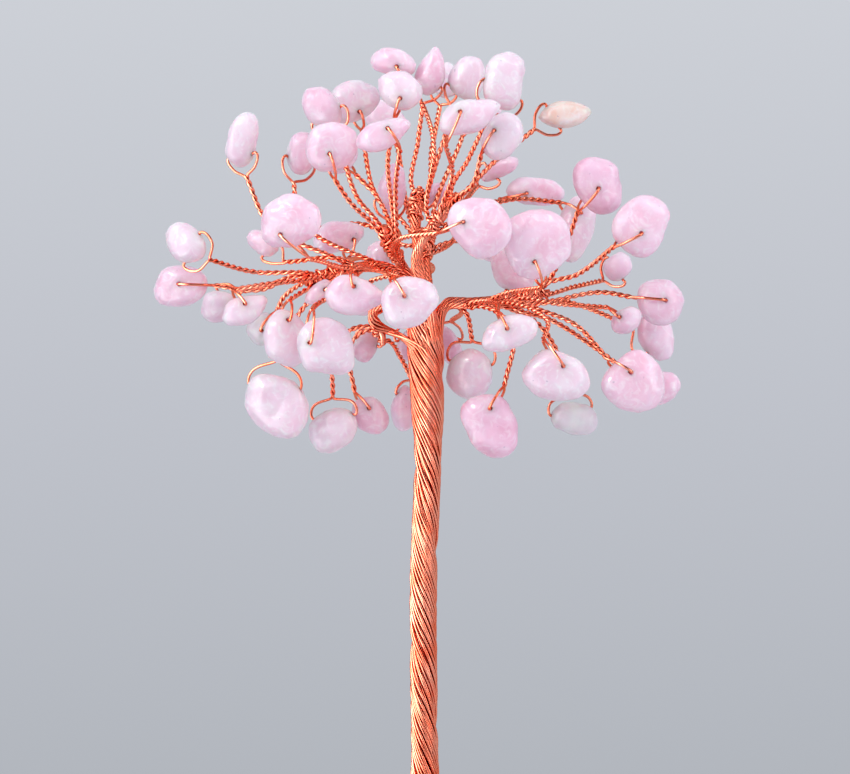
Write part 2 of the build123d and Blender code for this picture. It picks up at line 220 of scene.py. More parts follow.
def grouped(corners, reach):
    """Corners gathered into groups of three, each within reach of its group's first."""
    groups = []
    for v in corners:
        for group in groups:
            if (group[0].co - v.co).length < reach:
                group.append(v)
                break
        else:
            groups.append([v])
    return [group for group in groups if len(group) == EYE_CORNERS]


def read_twig(part, line):
    """A twig's route from its limb to its neck, and its eye's four bends."""
    faces = {face for v in part for face in v.link_faces}
    caps = [face for face in faces
            if len(face.verts) == ROD_CORNERS and abs(face.calc_area() / TWIG_AREA - 1) < AREA_SLACK]
    cap = min(caps, key=lambda face: min((face.calc_center_median() - spot).length for spot in line))
    rings = rings_from(cap)
    route = [middle(rings[0])]
    walked = set(rings[0])
    for ring in rings[1:]:
        if (middle(ring) - route[-1]).length < NEAR_NECK:
            break
        route.append(middle(ring))
        walked |= ring
        if len(ring) != ROD_CORNERS:
            break
    corners = [v for v in part - walked if (v.co - route[-1]).length > NEAR_NECK]
    corners.sort(key=lambda v: v.index)
    bends = max((grouped(corners, reach * MM) for reach in BEND_REACHES), key=len)
    return route, [middle(bend) for bend in bends]


twigs = {}
for limb in limbs:
    skin, parts = parts_of(limb + "_twigs")
    twigs[limb] = [read_twig(part, limb_lines[limb][0]) for part in parts]
    skin.free()
    print(limb, "twigs", len(twigs[limb]), "bends", {len(bends) for _, bends in twigs[limb]})

# %% [markdown]
# ## Finishes
# Every finish starts from the same shader. Its plain values are set on its own sockets, and its colour comes from
# noise on Object coordinates. All pieces stay at the origin, so the noise runs on from one to the next, and no two
# chips show the same cloud. The small helpers below each add one kind of node, so that a finish reads as a recipe.

# %% A start for every material
def new_material(name, **sockets):
    """A material with its shader's plain values set, and the coordinates that its patterns read."""
    material = bpy.data.materials.new(name)
    material.use_nodes = True
    tree = material.node_tree
    shader = tree.nodes["Principled BSDF"]
    for socket, value in sockets.items():
        shader.inputs[socket.replace("_", " ")].default_value = value
    place = tree.nodes.new("ShaderNodeTexCoord").outputs["Object"]
    return material, tree, shader, place


def noise(tree, place, scale, detail=3.0, distortion=0.0, output="Fac"):
    """Cloudy noise with this many clouds in a metre."""
    node = tree.nodes.new("ShaderNodeTexNoise")
    node.inputs["Scale"].default_value = scale
    node.inputs["Detail"].default_value = detail
    node.inputs["Distortion"].default_value = distortion
    tree.links.new(place, node.inputs["Vector"])
    return node.outputs[output]


def ramp(tree, value, *stops):
    """Colours at places along a value, mixed between."""
    node = tree.nodes.new("ShaderNodeValToRGB")
    elements = node.color_ramp.elements
    while len(elements) < len(stops):
        elements.new(0.5)
    for element, (spot, colour) in zip(elements, stops):
        element.position = spot
        element.color = (*colour, 1) if len(colour) == 3 else colour
    tree.links.new(value, node.inputs["Fac"])
    return node.outputs["Color"]


def blended(tree, share, low, high):
    """Two colours mixed by a share."""
    node = tree.nodes.new("ShaderNodeMix")
    node.data_type = "RGBA"
    tree.links.new(share, node.inputs["Factor"])
    tree.links.new(low, node.inputs["A"])
    tree.links.new(high, node.inputs["B"])
    return node.outputs["Result"]


def ranged(tree, value, low=0.0, high=1.0, top=1.0):
    """A value from 0 to a top spread between two others."""
    node = tree.nodes.new("ShaderNodeMapRange")
    node.inputs["From Max"].default_value = top
    node.inputs["To Min"].default_value = low
    node.inputs["To Max"].default_value = high
    tree.links.new(value, node.inputs["Value"])
    return node.outputs["Result"]


def bumped(tree, shader, height, depth, strength):
    """Relief this deep on a shader."""
    node = tree.nodes.new("ShaderNodeBump")
    node.inputs["Distance"].default_value = depth
    node.inputs["Strength"].default_value = strength
    tree.links.new(height, node.inputs["Height"])
    tree.links.new(node.outputs["Normal"], shader.inputs["Normal"])


# %% [markdown]
# Copper wire is bare metal, so its colour is the colour of what it mirrors. One metal colour would do for a single
# wire, but the tree's wires run from pale salmon to a red that is nearly black. So slow clouds turn the bright metal
# dull where hands have been, and Ambient Occlusion finds the grooves between the wires and paints them nearly black
# red: painted shade, on top of the shadow that the render gives them. Fine noise in the roughness and a shallow
# relief break up the long highlights.

# %% Copper
COPPER_EDGE = (1.0, 0.42, 0.28, 1.0)
GROOVE = 0.45 * MM
GROOVE_RAYS = 6
DRAWN_MARKS = 0.02 * MM


def copper_finish(name, bright, dull, groove_shade):
    """Drawn copper wire: bright metal, a little duller where hands have been, and painted shade where wires touch."""
    material, tree, shader, place = new_material(name, Metallic=1.0, Specular_Tint=COPPER_EDGE)
    touched = noise(tree, place, 260, detail=4)
    metal = ramp(tree, touched, (0.35, dull), (0.62, bright))
    # Painted shade: Ambient Occlusion finds the grooves between the wires, and the base colour there goes to a red
    # that is nearly black
    groove = tree.nodes.new("ShaderNodeAmbientOcclusion")
    groove.samples = GROOVE_RAYS
    groove.inputs["Distance"].default_value = GROOVE
    open_share = ramp(tree, groove.outputs["AO"], (0.32, (0, 0, 0)), (0.87, (1, 1, 1)))
    dark = ramp(tree, touched, (0.3, groove_shade), (0.7, tuple(1.3 * part for part in groove_shade)))
    tree.links.new(blended(tree, open_share, dark, metal), shader.inputs["Base Color"])
    tree.links.new(ranged(tree, noise(tree, place, 900), 0.14, 0.26), shader.inputs["Roughness"])
    bumped(tree, shader, noise(tree, place, 3200, detail=2), DRAWN_MARKS, 0.2)
    return material


# The last colour is painted shade for the grooves between the wires
copper = copper_finish(
    "copper_wire", bright=(0.98, 0.35, 0.23), dull=(0.96, 0.21, 0.11), groove_shade=(0.26, 0.006, 0.002))
print("made", copper.name)

# %% [markdown]
# The chips are not one colour. Most are milky pink, some are paler, some have a violet or an orange cast, and a few
# are clear with only a veil in them. One recipe makes them all: a deep colour and a pale one, mixed by a slow
# cloud, with white veils from a second noise that is stretched by its own distortion.


# %% Rose quartz
MILK_DEPTH = 3.0 * MM
DIMPLES = 0.32 * MM


def quartz_finish(name, deep, pale, veil, clear):
    """Polished quartz: milky, with slow clouds and thin white veils."""
    material, tree, shader, place = new_material(
        name, Roughness=0.15, IOR=1.54, Transmission_Weight=clear, Subsurface_Weight=1.0,
        Subsurface_Radius=(1.0, 0.72, 0.86), Subsurface_Scale=MILK_DEPTH, Specular_IOR_Level=0.24,
    )
    body = ramp(tree, noise(tree, place, 190, detail=4, distortion=0.6), (0.34, deep), (0.62, pale))
    streaks = noise(tree, place, 420, detail=5, distortion=2.2)
    veils = ramp(tree, streaks, (0.50, (0, 0, 0)), (0.70, (veil,) * 3))
    white = ramp(tree, veils, (0.0, (0.95, 0.91, 0.94)), (1.0, (0.97, 0.95, 0.97)))
    specks = ramp(tree, noise(tree, place, 1300, detail=1), (0.75, (0, 0, 0)), (0.79, (0.5,) * 3))
    dark = ramp(tree, specks, (0.0, (0.42, 0.30, 0.46)), (1.0, (0.40, 0.28, 0.44)))
    tree.links.new(blended(tree, specks, blended(tree, veils, body, white), dark), shader.inputs["Base Color"])
    bumped(tree, shader, noise(tree, place, 360, detail=6, distortion=0.5), DIMPLES, 0.45)
    return material


STONES = {  # a stone's deep and pale colours, how white its veils are, and how clear it is
    "milky": ((0.86, 0.55, 0.68), (0.91, 0.70, 0.81), 0.5, 0.12),
    "pale": ((0.89, 0.66, 0.77), (0.92, 0.78, 0.86), 0.7, 0.18),
    "violet": ((0.80, 0.48, 0.62), (0.87, 0.62, 0.75), 0.4, 0.12),
    "orange": ((0.97, 0.60, 0.51), (0.98, 0.80, 0.77), 0.5, 0.25),
    "clear": ((0.93, 0.76, 0.86), (0.96, 0.90, 0.95), 0.8, 0.38),
}
quartz = {kind: quartz_finish("rose_quartz_" + kind, *recipe) for kind, recipe in STONES.items()}
print("quartz", sorted(quartz))

# %% [markdown]
# ## Lines and wires
# A wire is a curve with a round bevel. Its points come from a smooth line through the frame's places, and from a
# pair of directions square to that line which are carried along it without twisting. A laid strand turns round the
# line at a steady rate in those directions, and left-handed lay only means that the angle falls as it goes.

# %% Helpers for lines
print("full", "detail")


def smooth_line(points, step):
    """A smooth line through points, with a point about every step."""
    ways = [(b - a).normalized() for a, b in zip(points, points[1:])]
    along = [ways[0]] + [(p + q).normalized() for p, q in zip(ways, ways[1:])] + [ways[-1]]
    line = [points[0].copy()]
    for a, b, out, into in zip(points, points[1:], along, along[1:]):
        third = (b - a).length / 3
        count = max(2, ceil((b - a).length / step)) + 1
        line += interpolate_bezier(a, a + out * third, b - into * third, b, count)[1:]
    return line


def lengths_of(line):
    """How far along the line each of its points lies."""
    run = [0.0]
    for a, b in zip(line, line[1:]):
        run.append(run[-1] + (b - a).length)
    return run


def carried(line, side):
    """At each point, two directions square to the line, carried along without twisting."""
    frames = []
    for n in range(len(line)):
        along = (line[min(n + 1, len(line) - 1)] - line[max(n - 1, 0)]).normalized()
        side = (side - along * side.dot(along)).normalized()
        frames.append((side, along.cross(side)))
    return frames


def around(spot, frame_at, radius, angle):
    """The point at an angle round a line's point."""
    side, back = frame_at
    return spot + radius * (cos(angle) * side + sin(angle) * back)


def angle_of(way, side, back):
    """The angle of a direction from side towards back."""
    return atan2(way.dot(back), way.dot(side))


def between(low, high, share):
    """The value at a share of the way from low to high."""
    return low + (high - low) * share


def eased(share):
    """A share held between 0 and 1, that starts and ends slowly."""
    share = min(max(share, 0.0), 1.0)
    return share * share * (3 - 2 * share)


def wire_piece(name, wires, radius, roundness=2):
    """Wires as one mesh. Each is a list of (point, thickness share)."""
    curve = bpy.data.curves.new(name, "CURVE")
    curve.dimensions = "3D"
    curve.bevel_depth = radius
    curve.bevel_resolution = roundness
    curve.use_fill_caps = True
    for wire in wires:
        spline = curve.splines.new("POLY")
        spline.points.add(len(wire) - 1)
        for point, (spot, share) in zip(spline.points, wire):
            point.co = (*spot, 1)
            point.radius = share
    piece = new_piece(name, curve)
    only(piece)
    bpy.ops.object.convert(target="MESH")
    piece = bpy.context.object
    bpy.ops.object.shade_smooth()
    piece.data.materials.clear()
    piece.data.materials.append(copper)
    return piece


# %% [markdown]
# ## Twigs and their eyes
# Each twig is one length of wire, bent double over its chip. One half runs up from the limb, the bight goes through
# the drilled hole, and the other half comes back down, twisted with the first. So it is modelled as one wire: up
# one helix, round the eye, and down the other helix half a turn apart. Its tail is first laid along the limb. In
# the limb's outer part, six tails in ten are wound round it instead, and they make the knots there.

# %% One twig's wire
WIRE = 0.265 * MM
PAIR_OFFSET = 0.25 * MM
TWISTS = (2.1 * MM, 3.1 * MM)
TWIG_STEP = 0.3 * MM
LIMB_LAY = 12 * MM
KNOT_FROM = 0.62  # past this share of the limb, tails can be wound
WOUND_SHARE = 0.6
WOUND_REACH = (0.7, 1.1)  # mm along the limb
WOUND_TURNS = (0.8, 1.15)
LAID_REACH = (1.2, 2.4)  # mm along the limb
MOST_OF_WAY = 0.8  # of what there is of the limb below the twig, for a tail
TAIL_HEIGHTS = (-0.6 * MM, 0.12 * MM)  # from inside the limb's skin to just proud of it
MOUTH = 0.95 * MM
EYE_STEP = 0.25 * MM
BROAD_EYE = (6 * MM, 9 * MM)  # from here to here an eye gets squarer, to go round a long chip
SHOULDER_OUT = (0.80, 0.97)  # in a narrow eye and in a broad one
SHOULDER_DOWN = (0.22, 0.03)


def off_side(spot, side):
    """How far a point is from the straight side between two others."""
    _, share = intersect_point_line(spot, *side)
    return (spot - side[0].lerp(side[1], min(max(share, 0.0), 1.0))).length


def eye_of(route, bends):
    """An eye's two ends, one on each side of its chip, and the way from them towards its neck."""
    neck = route[-1]
    if len(bends) == 3:  # the eye's corners make a rectangle, so three of them give the fourth
        far = max(combinations(bends, 2), key=lambda side: (side[0] - side[1]).length)
        corner = next(bend for bend in bends if not any(bend is other for other in far))
        bends = bends + [far[0] + far[1] - corner]
    bends = sorted(bends, key=lambda bend: (bend - neck).length)
    shoulders = min(combinations(bends, 2), key=lambda side: off_side(neck, side))
    ends = [bend for bend in bends if not any(bend is shoulder for shoulder in shoulders)]
    rises = [shoulder - min(ends, key=lambda end: (end - shoulder).length) for shoulder in shoulders]
    return ends, sum(rises, Vector()) / len(rises)


def tail_on(limb_line, limb_frames, limb_radii, start, dice):
    """A twig's tail: laid along the limb's surface, or wound round it, up to where the twig leaves."""
    run = lengths_of(limb_line)
    nearest = min(range(len(limb_line)), key=lambda n: (limb_line[n] - start).length)
    side, back = limb_frames[nearest]
    leave = angle_of(start - limb_line[nearest], side, back)
    wound = run[nearest] / run[-1] > KNOT_FROM and dice.random() < WOUND_SHARE
    reach = min(dice.uniform(*(WOUND_REACH if wound else LAID_REACH)) * MM, run[nearest] * MOST_OF_WAY)
    turns = dice.uniform(*WOUND_TURNS) if wound else reach / LIMB_LAY
    count = max(6, round(9 * turns) + 3)
    tail = []
    for n in range(count):
        share = n / (count - 1)
        place = run[nearest] - reach * (1 - share)
        k = min(range(len(run)), key=lambda m: abs(run[m] - place))
        radius = limb_radii[k] + between(*TAIL_HEIGHTS, eased(2.0 * share))
        tail.append(around(limb_line[k], limb_frames[k], radius, leave + tau * turns * (1 - share)))
    return tail


def full_wire(spots):
    """A wire of full thickness all along, as wire_piece wants it."""
    return [(spot, 1.0) for spot in spots]


def twig_wire(route, bends, limb_line, limb_frames, limb_radii, dice):
    """One wire: from the limb up one side of the twist, through the eye, and back down the other."""
    tail = tail_on(limb_line, limb_frames, limb_radii, route[0], dice)
    ends, rise = eye_of(route, bends)
    heart = (ends[0] + ends[1]) / 2
    way = rise.normalized()
    neck = heart + way * max((route[-1] - heart).dot(way), rise.length + 2 * WIRE)
    line = smooth_line(tail + route[1:-1] + [neck], TWIG_STEP)
    axis = (ends[0] - ends[1]).normalized()
    frames = carried(line, line[0] - limb_line[0])
    run = lengths_of(line)
    twist = dice.uniform(*TWISTS)
    side, back = frames[-1]
    start_angle = angle_of(axis, side, back)
    up, down = [], []
    for spot, frame_at, far in zip(line, frames, run):
        angle = start_angle + tau * (run[-1] - far) / twist
        up.append(around(spot, frame_at, PAIR_OFFSET, angle))
        down.append(around(spot, frame_at, PAIR_OFFSET, angle + pi))
    halves = []
    broad = eased(((ends[0] - ends[1]).length - BROAD_EYE[0]) / (BROAD_EYE[1] - BROAD_EYE[0]))
    for end in ends:
        mouth = end + (heart - end).normalized() * MOUTH
        shoulder = neck.lerp(end + rise, between(*SHOULDER_OUT, broad)) - between(*SHOULDER_DOWN, broad) * rise
        halves.append([shoulder, end, mouth])
    loop = smooth_line([up[-1], *halves[0], heart, *halves[1][::-1], down[-1]], EYE_STEP)
    return full_wire(up + loop[1:-1] + down[::-1])


# %% [markdown]
# A limb's rings stand far apart in the frame, so its line is made smooth first, with its radius read off between
# the rings. All the twigs of one limb are then drawn as one piece. They share one throw of the dice after another
# from a fixed seed, so that no two are twisted alike and every run gives the same tree.

# %% The limbs' smooth lines, and all the twigs
LIMB_STEP = 0.4 * MM
ON_AXIS = 0.5 * MM  # nearer to the trunk's axis a limb's start has no side of its own
TWIG_SEED = 7


def read_off(values, run, far):
    """The value at a distance along a line, between those at its points."""
    k = max(n for n in range(len(run) - 1) if run[n] <= far)
    return between(values[k], values[k + 1], (far - run[k]) / (run[k + 1] - run[k]))


smooth_limbs = {}
for limb, (line, radii) in limb_lines.items():
    fine = smooth_line(line, LIMB_STEP)
    side = Vector((line[0].x, line[0].y, 0))
    if side.length < ON_AXIS:
        side = Vector((1, 0, 0))
    run = lengths_of(line)
    fine_run = lengths_of(fine)
    fine_radii = [read_off(radii, run, far / fine_run[-1] * run[-1]) for far in fine_run]
    smooth_limbs[limb] = (fine, carried(fine, side), fine_radii)

dice = random.Random(TWIG_SEED)
for limb in limbs:
    wires = [twig_wire(route, bends, *smooth_limbs[limb], dice) for route, bends in twigs[limb]]
    piece = wire_piece(limb + "_twig_wires", wires, WIRE, 2)
    finish_piece(piece, "tree", limb + "_twigs", slot="copper_wire")
    print(piece.name, len(wires), "wires", len(piece.data.polygons), "faces")

# %% [markdown]
# ## The trunk, its roots and the limbs
# On the real tree these are the same wires. The trunk shows some twenty strands, and is drawn with twenty-four, so
# that four go into each of the six limbs round its top. At the foot each strand goes into the root that it comes
# down over, which gives two to one root and seven to another. So each strand here is one wire from a root's tip, up
# the trunk and out along a limb, and where it changes from one rope to the next its place is blended from the one
# helix to the other.

# %% The trunk's line, and a strand of it
STRAND = 0.27 * MM
UNEVEN = 0.065
LAY_TURNS = 1005 / 360  # a strand turns 1005 degrees round the trunk between its top and its foot
TRUNK_STEP = 0.8 * MM
trunk_fine = smooth_line(trunk_line, TRUNK_STEP)
trunk_frames = carried(trunk_fine, Vector((1, 0, 0)))
trunk_run = lengths_of(trunk_fine)
trunk_length = trunk_run[-1]
ring_run = lengths_of(trunk_line)
print("trunk", round(trunk_length / MM, 1), "mm along its line")


def trunk_radius(far):
    """The trunk's outer radius at a distance up it, read from the frame's rings."""
    return read_off(trunk_radii, ring_run, min(max(far, 0.0), ring_run[-1]))


def on_line(line, frames, run, far, radius, angle):
    """The point round a line at a distance along it."""
    k = min(max(n for n in range(len(run)) if run[n] <= max(far, 0)), len(run) - 2)
    share = (far - run[k]) / (run[k + 1] - run[k])
    low = around(line[k], frames[k], radius, angle)
    return low.lerp(around(line[k + 1], frames[k + 1], radius, angle), share)


def steps_along(low, high, step):
    """Distances from one to another, both ends in, about a step apart."""
    count = max(1, round(abs(high - low) / step))
    return [between(low, high, n / count) for n in range(count + 1)]


def trunk_strand(top_angle, sway, depth=0.0):
    """Where a trunk strand lies at a distance up the trunk."""
    wave, phase, amount = sway

    def spot(far):
        angle = top_angle + tau * LAY_TURNS * (1 - far / trunk_length)
        angle += UNEVEN * sin(tau * far / wave + phase) + UNEVEN * sin(5 * phase)
        radius = trunk_radius(far) - STRAND - depth + amount * sin(tau * far / (0.7 * wave) + 2 * phase)
        return on_line(trunk_fine, trunk_frames, trunk_run, far, radius, angle)
    return spot


def rope_strand(line, frames, run, radius_at, first_angle, lay):
    """Where a strand of a limb or a root lies at a distance along it."""
    def spot(far):
        return on_line(line, frames, run, far, radius_at(far), first_angle - tau * far / lay)
    return spot


def blend_strands(one, other, one_stops, other_stops, count=12):
    """Points that pass smoothly from one strand's line to another's."""
    return [
        one(between(*one_stops, n / count)).lerp(other(between(*other_stops, n / count)), eased(n / count))
        for n in range(count + 1)
    ]


def azimuth(spot):
    """The angle of a place round the trunk's axis."""
    return angle_of(spot, Vector((1, 0, 0)), Vector((0, 1, 0))) % tau


# %% [markdown]
# A limb and a root are ropes like the trunk, but thinner, and they turn faster. A strand of either is found from
# its slot, which is its place among the strands round the rope's start.

# %% A strand of a limb and one of a root
LIMB_SLOTS = 8
LIMB_CLOSES = 3 * MM  # the length over which a limb's strands close up at its end
CLOSED = 0.35
LEAST_RADIUS = 0.2 * MM
ROOT_SLOTS = 7
ROOT_LAY = 11 * MM
ROOT_RADIUS = 0.90 * MM
ROOT_STEP = 0.7 * MM
roots = sorted(root_lines, key=lambda line: azimuth(line[0]))
root_paths = []
for line in roots:
    fine = smooth_line(line, ROOT_STEP)
    out = Vector((line[0].x, line[0].y, 0)).normalized()
    root_paths.append((fine, carried(fine, out), lengths_of(fine)))


def limb_strand(limb, slot_angle, proud=0.0):
    """A strand of a limb at a slot round it, and the limb's length. A proud one starts outside the others."""
    fine, frames, radii = smooth_limbs[limb]
    run = lengths_of(fine)

    def radius_at(far):
        k = min(range(0, len(run), 2), key=lambda n: abs(run[n] - far))
        closing = eased((run[-1] - far) / LIMB_CLOSES)
        extra = proud * (1 - eased(1.6 * far / run[-1] - 0.4))  # gone by seven eighths of the way out
        return max(radii[k] - STRAND + extra, LEAST_RADIUS) * between(CLOSED, 1.0, closing)
    return rope_strand(fine, frames, run, radius_at, slot_angle, LIMB_LAY), run[-1]


def root_strand(root, slot):
    """A strand of a root at a slot round it, and the root's length."""
    fine, frames, run = root_paths[root]
    angle = -slot * tau / ROOT_SLOTS
    return rope_strand(fine, frames, run, lambda far: ROOT_RADIUS - STRAND, angle, ROOT_LAY), run[-1]


print("roots", [round(run[-1] / MM, 1) for _, _, run in root_paths], "mm long")

# %% [markdown]
# Each of the twenty-four strands is followed from root to limb. A slow wander keeps them from lying as evenly as a
# screw's threads. Short strands fill up the roots, an inner layer shows in the trunk's gaps, and a core in each rope
# stops the light.

# %% The wires of the trunk and the roots
STRANDS = 24
STRANDS_A_LIMB = 4
MIDDLE_SLOT = 1.5  # four strands lie evenly about this, in slots 0 to 3
NUDGE = Vector((0, 1e-6, 0))  # keeps a limb at angle 0 from being read as a full turn
SWAY_SEED = 11
WAVES = (24, 46)  # mm, how long the waves of a strand's wander are
SWAYS = (0.02, 0.09)  # mm, how far in and out it wanders
BLEND_TRUNK = 6 * MM
BLEND_LIMB = 4 * MM
ROOT_WIRE_STEP = 0.8 * MM
LIMB_WIRE_STEP = 0.6 * MM
ROOT_CORE = 0.5 * MM
CORE_TIP = ((0.8, 2.6), (1.6, 1.4), (2.2, 0.4))  # mm above the trunk's top, and mm of radius there
INNER_STRANDS = 22
INNER_DEPTH = 0.42 * MM
INNER_FROM, INNER_SHORT = 1 * MM, 1.5 * MM  # from the foot, and short of the top
INNER_ON_LIMB = (1 * MM, 7 * MM)
ring_limbs = sorted(
    (limb for limb in limbs if limb != "centre"), key=lambda limb: azimuth(limb_lines[limb][0][0] + NUDGE))
dice = random.Random(SWAY_SEED)
sways = [
    (dice.uniform(*WAVES) * MM, dice.uniform(0, tau), dice.uniform(*SWAYS) * MM) for _ in range(3 * STRANDS)]


def into_limb(on_trunk, on_limb, limb_end):
    """A strand's way from the trunk into a limb, and out along the limb to its end."""
    spots = blend_strands(on_trunk, on_limb, (trunk_length - BLEND_TRUNK, trunk_length), (0, BLEND_LIMB))[1:]
    return spots + [on_limb(far) for far in steps_along(BLEND_LIMB, limb_end, LIMB_WIRE_STEP)][1:]


main_wires = []
strands_on_root = [0] * len(roots)
for n in range(STRANDS):
    limb = ring_limbs[n // STRANDS_A_LIMB]
    slot = n % STRANDS_A_LIMB - MIDDLE_SLOT
    top_angle = azimuth(limb_lines[limb][0][0]) + slot * tau / STRANDS
    on_trunk = trunk_strand(top_angle, sways[n])
    on_limb, limb_end = limb_strand(limb, slot * tau / LIMB_SLOTS)
    foot_angle = (top_angle + tau * LAY_TURNS) % tau
    root = int(foot_angle / (tau / len(roots))) % len(roots)
    on_root, root_end = root_strand(root, strands_on_root[root] - MIDDLE_SLOT)
    strands_on_root[root] += 1
    spots = [on_root(far) for far in steps_along(root_end, BLEND_LIMB, ROOT_WIRE_STEP)]
    spots += blend_strands(on_root, on_trunk, (BLEND_LIMB, 0), (0, BLEND_LIMB))[1:]
    spots += [on_trunk(far) for far in steps_along(BLEND_LIMB, trunk_length - BLEND_TRUNK, TRUNK_STEP)][1:]
    main_wires.append(full_wire(spots + into_limb(on_trunk, on_limb, limb_end)))
print("strands on each root", strands_on_root)

# Strands that fill the roots round, and a core in each rope
for root, (fine, _, _) in enumerate(root_paths):
    for slot in range(strands_on_root[root], ROOT_SLOTS):
        on_root, root_end = root_strand(root, slot - MIDDLE_SLOT)
        main_wires.append(full_wire(on_root(far) for far in steps_along(root_end, 0, ROOT_WIRE_STEP)))
    main_wires.append([(spot, ROOT_CORE / STRAND) for spot in fine])
core = [(on_line(trunk_fine, trunk_frames, trunk_run, far, 0, 0), (trunk_radius(far) - 3 * STRAND) / STRAND)
        for far in steps_along(0, trunk_length, 2 * TRUNK_STEP)]
top = core[-1][0]
core += [(top + Vector((0, 0, rise * MM)), radius / STRAND * MM) for rise, radius in CORE_TIP]
main_wires.append(core)

# The inner layer. At the top it closes in on the centre limb
for n in range(INNER_STRANDS):
    turn = n * tau / INNER_STRANDS
    on_trunk = trunk_strand(turn, sways[2 * STRANDS + n % STRANDS], INNER_DEPTH)
    on_limb, _ = limb_strand("centre", turn)
    spots = [on_trunk(far) for far in steps_along(INNER_FROM, trunk_length - INNER_SHORT, 1.5 * TRUNK_STEP)]
    spots += blend_strands(on_trunk, on_limb, (trunk_length - INNER_SHORT, trunk_length), INNER_ON_LIMB)[1:]
    main_wires.append(full_wire(spots))
trunk_piece = wire_piece("trunk_and_root_wires", main_wires, STRAND)
finish_piece(trunk_piece, "tree", "trunk", "root_wires", slot="copper_wire")
print(trunk_piece.name, len(main_wires), "wires", len(trunk_piece.data.polygons), "faces")

# %% [markdown]
# A limb has eight slots. In the limbs round the top, four of them hold strands of the trunk's outer layer, and the
# others are filled here by strands that come up from just inside it. Four limbs start thicker in the picture than
# eight strands make them, so they get ten more that start proud and sink in on the way out. A few turns of wire
# bind each limb where its twigs leave, and a core stops the light.

# %% The limbs' own wires
THICKER = {"left": 0.40 * MM, "upper_left": 0.30 * MM, "upper_right": 0.12 * MM, "right": 0.18 * MM}
PROUD_SLOTS = [0.8 * n + 0.3 for n in range(10)]  # ten over the eight slots, on none of the others
OWN_FROM = 4 * BLEND_TRUNK  # how far below the trunk's top they start
OWN_MIDDLE = 6.0
OWN_DEPTH, CENTRE_DEPTH = 0.30 * MM, 0.9 * MM
BINDINGS = [(0.64, 1.3, 0.4), (0.76, 1.6, 2.1), (0.85, 1.2, 5.2), (0.93, 1.5, 4.0)]  # place, turns, angle
BINDING_PITCH = 0.55 * MM
BINDING_TILT = 0.5 * MM
BINDING_POINTS = 12  # in a turn, and the first and last four sink into the limb
BINDING_HEIGHTS = (-0.5 * MM, WIRE)
LIMB_CORE, LEAST_CORE = 1.6 * STRAND, 0.3 * MM  # under the limb's skin, and its least radius

for limb in limbs:
    is_centre = limb == "centre"
    own = [(slot, 0) for slot in range(0 if is_centre else STRANDS_A_LIMB, LIMB_SLOTS)]
    own += [(slot, THICKER[limb]) for slot in PROUD_SLOTS if limb in THICKER]
    wires = []
    for slot, proud in own:
        on_limb, limb_end = limb_strand(limb, (slot - MIDDLE_SLOT) * tau / LIMB_SLOTS, proud)
        turn = slot * tau / LIMB_SLOTS if is_centre else azimuth(limb_lines[limb][0][0])
        depth = CENTRE_DEPTH if is_centre else OWN_DEPTH
        on_trunk = trunk_strand(turn + (slot - OWN_MIDDLE) * tau / STRANDS, sways[STRANDS + round(slot)], depth)
        stops = steps_along(trunk_length - OWN_FROM, trunk_length - BLEND_TRUNK, TRUNK_STEP)
        wires.append(full_wire([on_trunk(far) for far in stops] + into_limb(on_trunk, on_limb, limb_end)))
    fine, frames, radii = smooth_limbs[limb]
    run = lengths_of(fine)
    for share, turns, phase in BINDINGS:
        coil = []
        for n in range(round(BINDING_POINTS * turns) + 1):
            angle = tau * n / BINDING_POINTS
            far = run[-1] * share + n / BINDING_POINTS * BINDING_PITCH + BINDING_TILT * sin(angle + 3 * phase)
            k = min(range(len(run)), key=lambda m: abs(run[m] - far))
            height = radii[k] + between(*BINDING_HEIGHTS, eased(min(n, BINDING_POINTS * turns - n) / 4))
            coil.append((on_line(fine, frames, run, min(far, run[-1]), height, phase + angle), WIRE / STRAND))
        wires.append(coil)
    core = [(spot, max(radius - LIMB_CORE, LEAST_CORE) / STRAND) for spot, radius in zip(fine, radii)]
    wires.append(core[:-2])
    piece = wire_piece(limb + "_limb_wires", wires, STRAND)
    finish_piece(piece, "tree", limb + "_limb", slot="copper_wire")
    print(piece.name, len(wires), "wires", len(piece.data.polygons), "faces")

# %% [markdown]
# ## The chips
# A tumbled chip began as a broken piece with flats and corners, and lost them to weeks of rolling in grit. The
# frame's chips are those broken pieces, so each one is tumbled here. Its hull is subdivided until the edges go, and
# remeshed to an even skin. Slow noise then dents it, and it is brought back to a little under its size, so that it
# keeps clear of its neighbours.

# %% Tumbling
GRIT = 0.5 * MM
BROKEN_FLAT = radians(4)
CREASE = 0.25
SNUG = 0.975
LUMP_SIZE, LUMP_DEPTH = 5.5 * MM, 1.5 * MM
DENT_SIZE, DENT_DEPTH = 1.8 * MM, 0.16 * MM
lumps = bpy.data.textures.new("slow_lumps", "CLOUDS")
lumps.noise_scale = LUMP_SIZE
dents = bpy.data.textures.new("small_dents", "CLOUDS")
dents.noise_scale = DENT_SIZE


def size_box(piece):
    """The lowest and the highest corner of a piece's box."""
    spots = [v.co for v in piece.data.vertices]
    low = Vector(min(spot[k] for spot in spots) for k in range(3))
    high = Vector(max(spot[k] for spot in spots) for k in range(3))
    return low, high


def modified(piece, name, kind, **settings):
    """Adds a modifier with its settings."""
    modifier = piece.modifiers.new(name, kind)
    for setting, value in settings.items():
        setattr(modifier, setting, value)


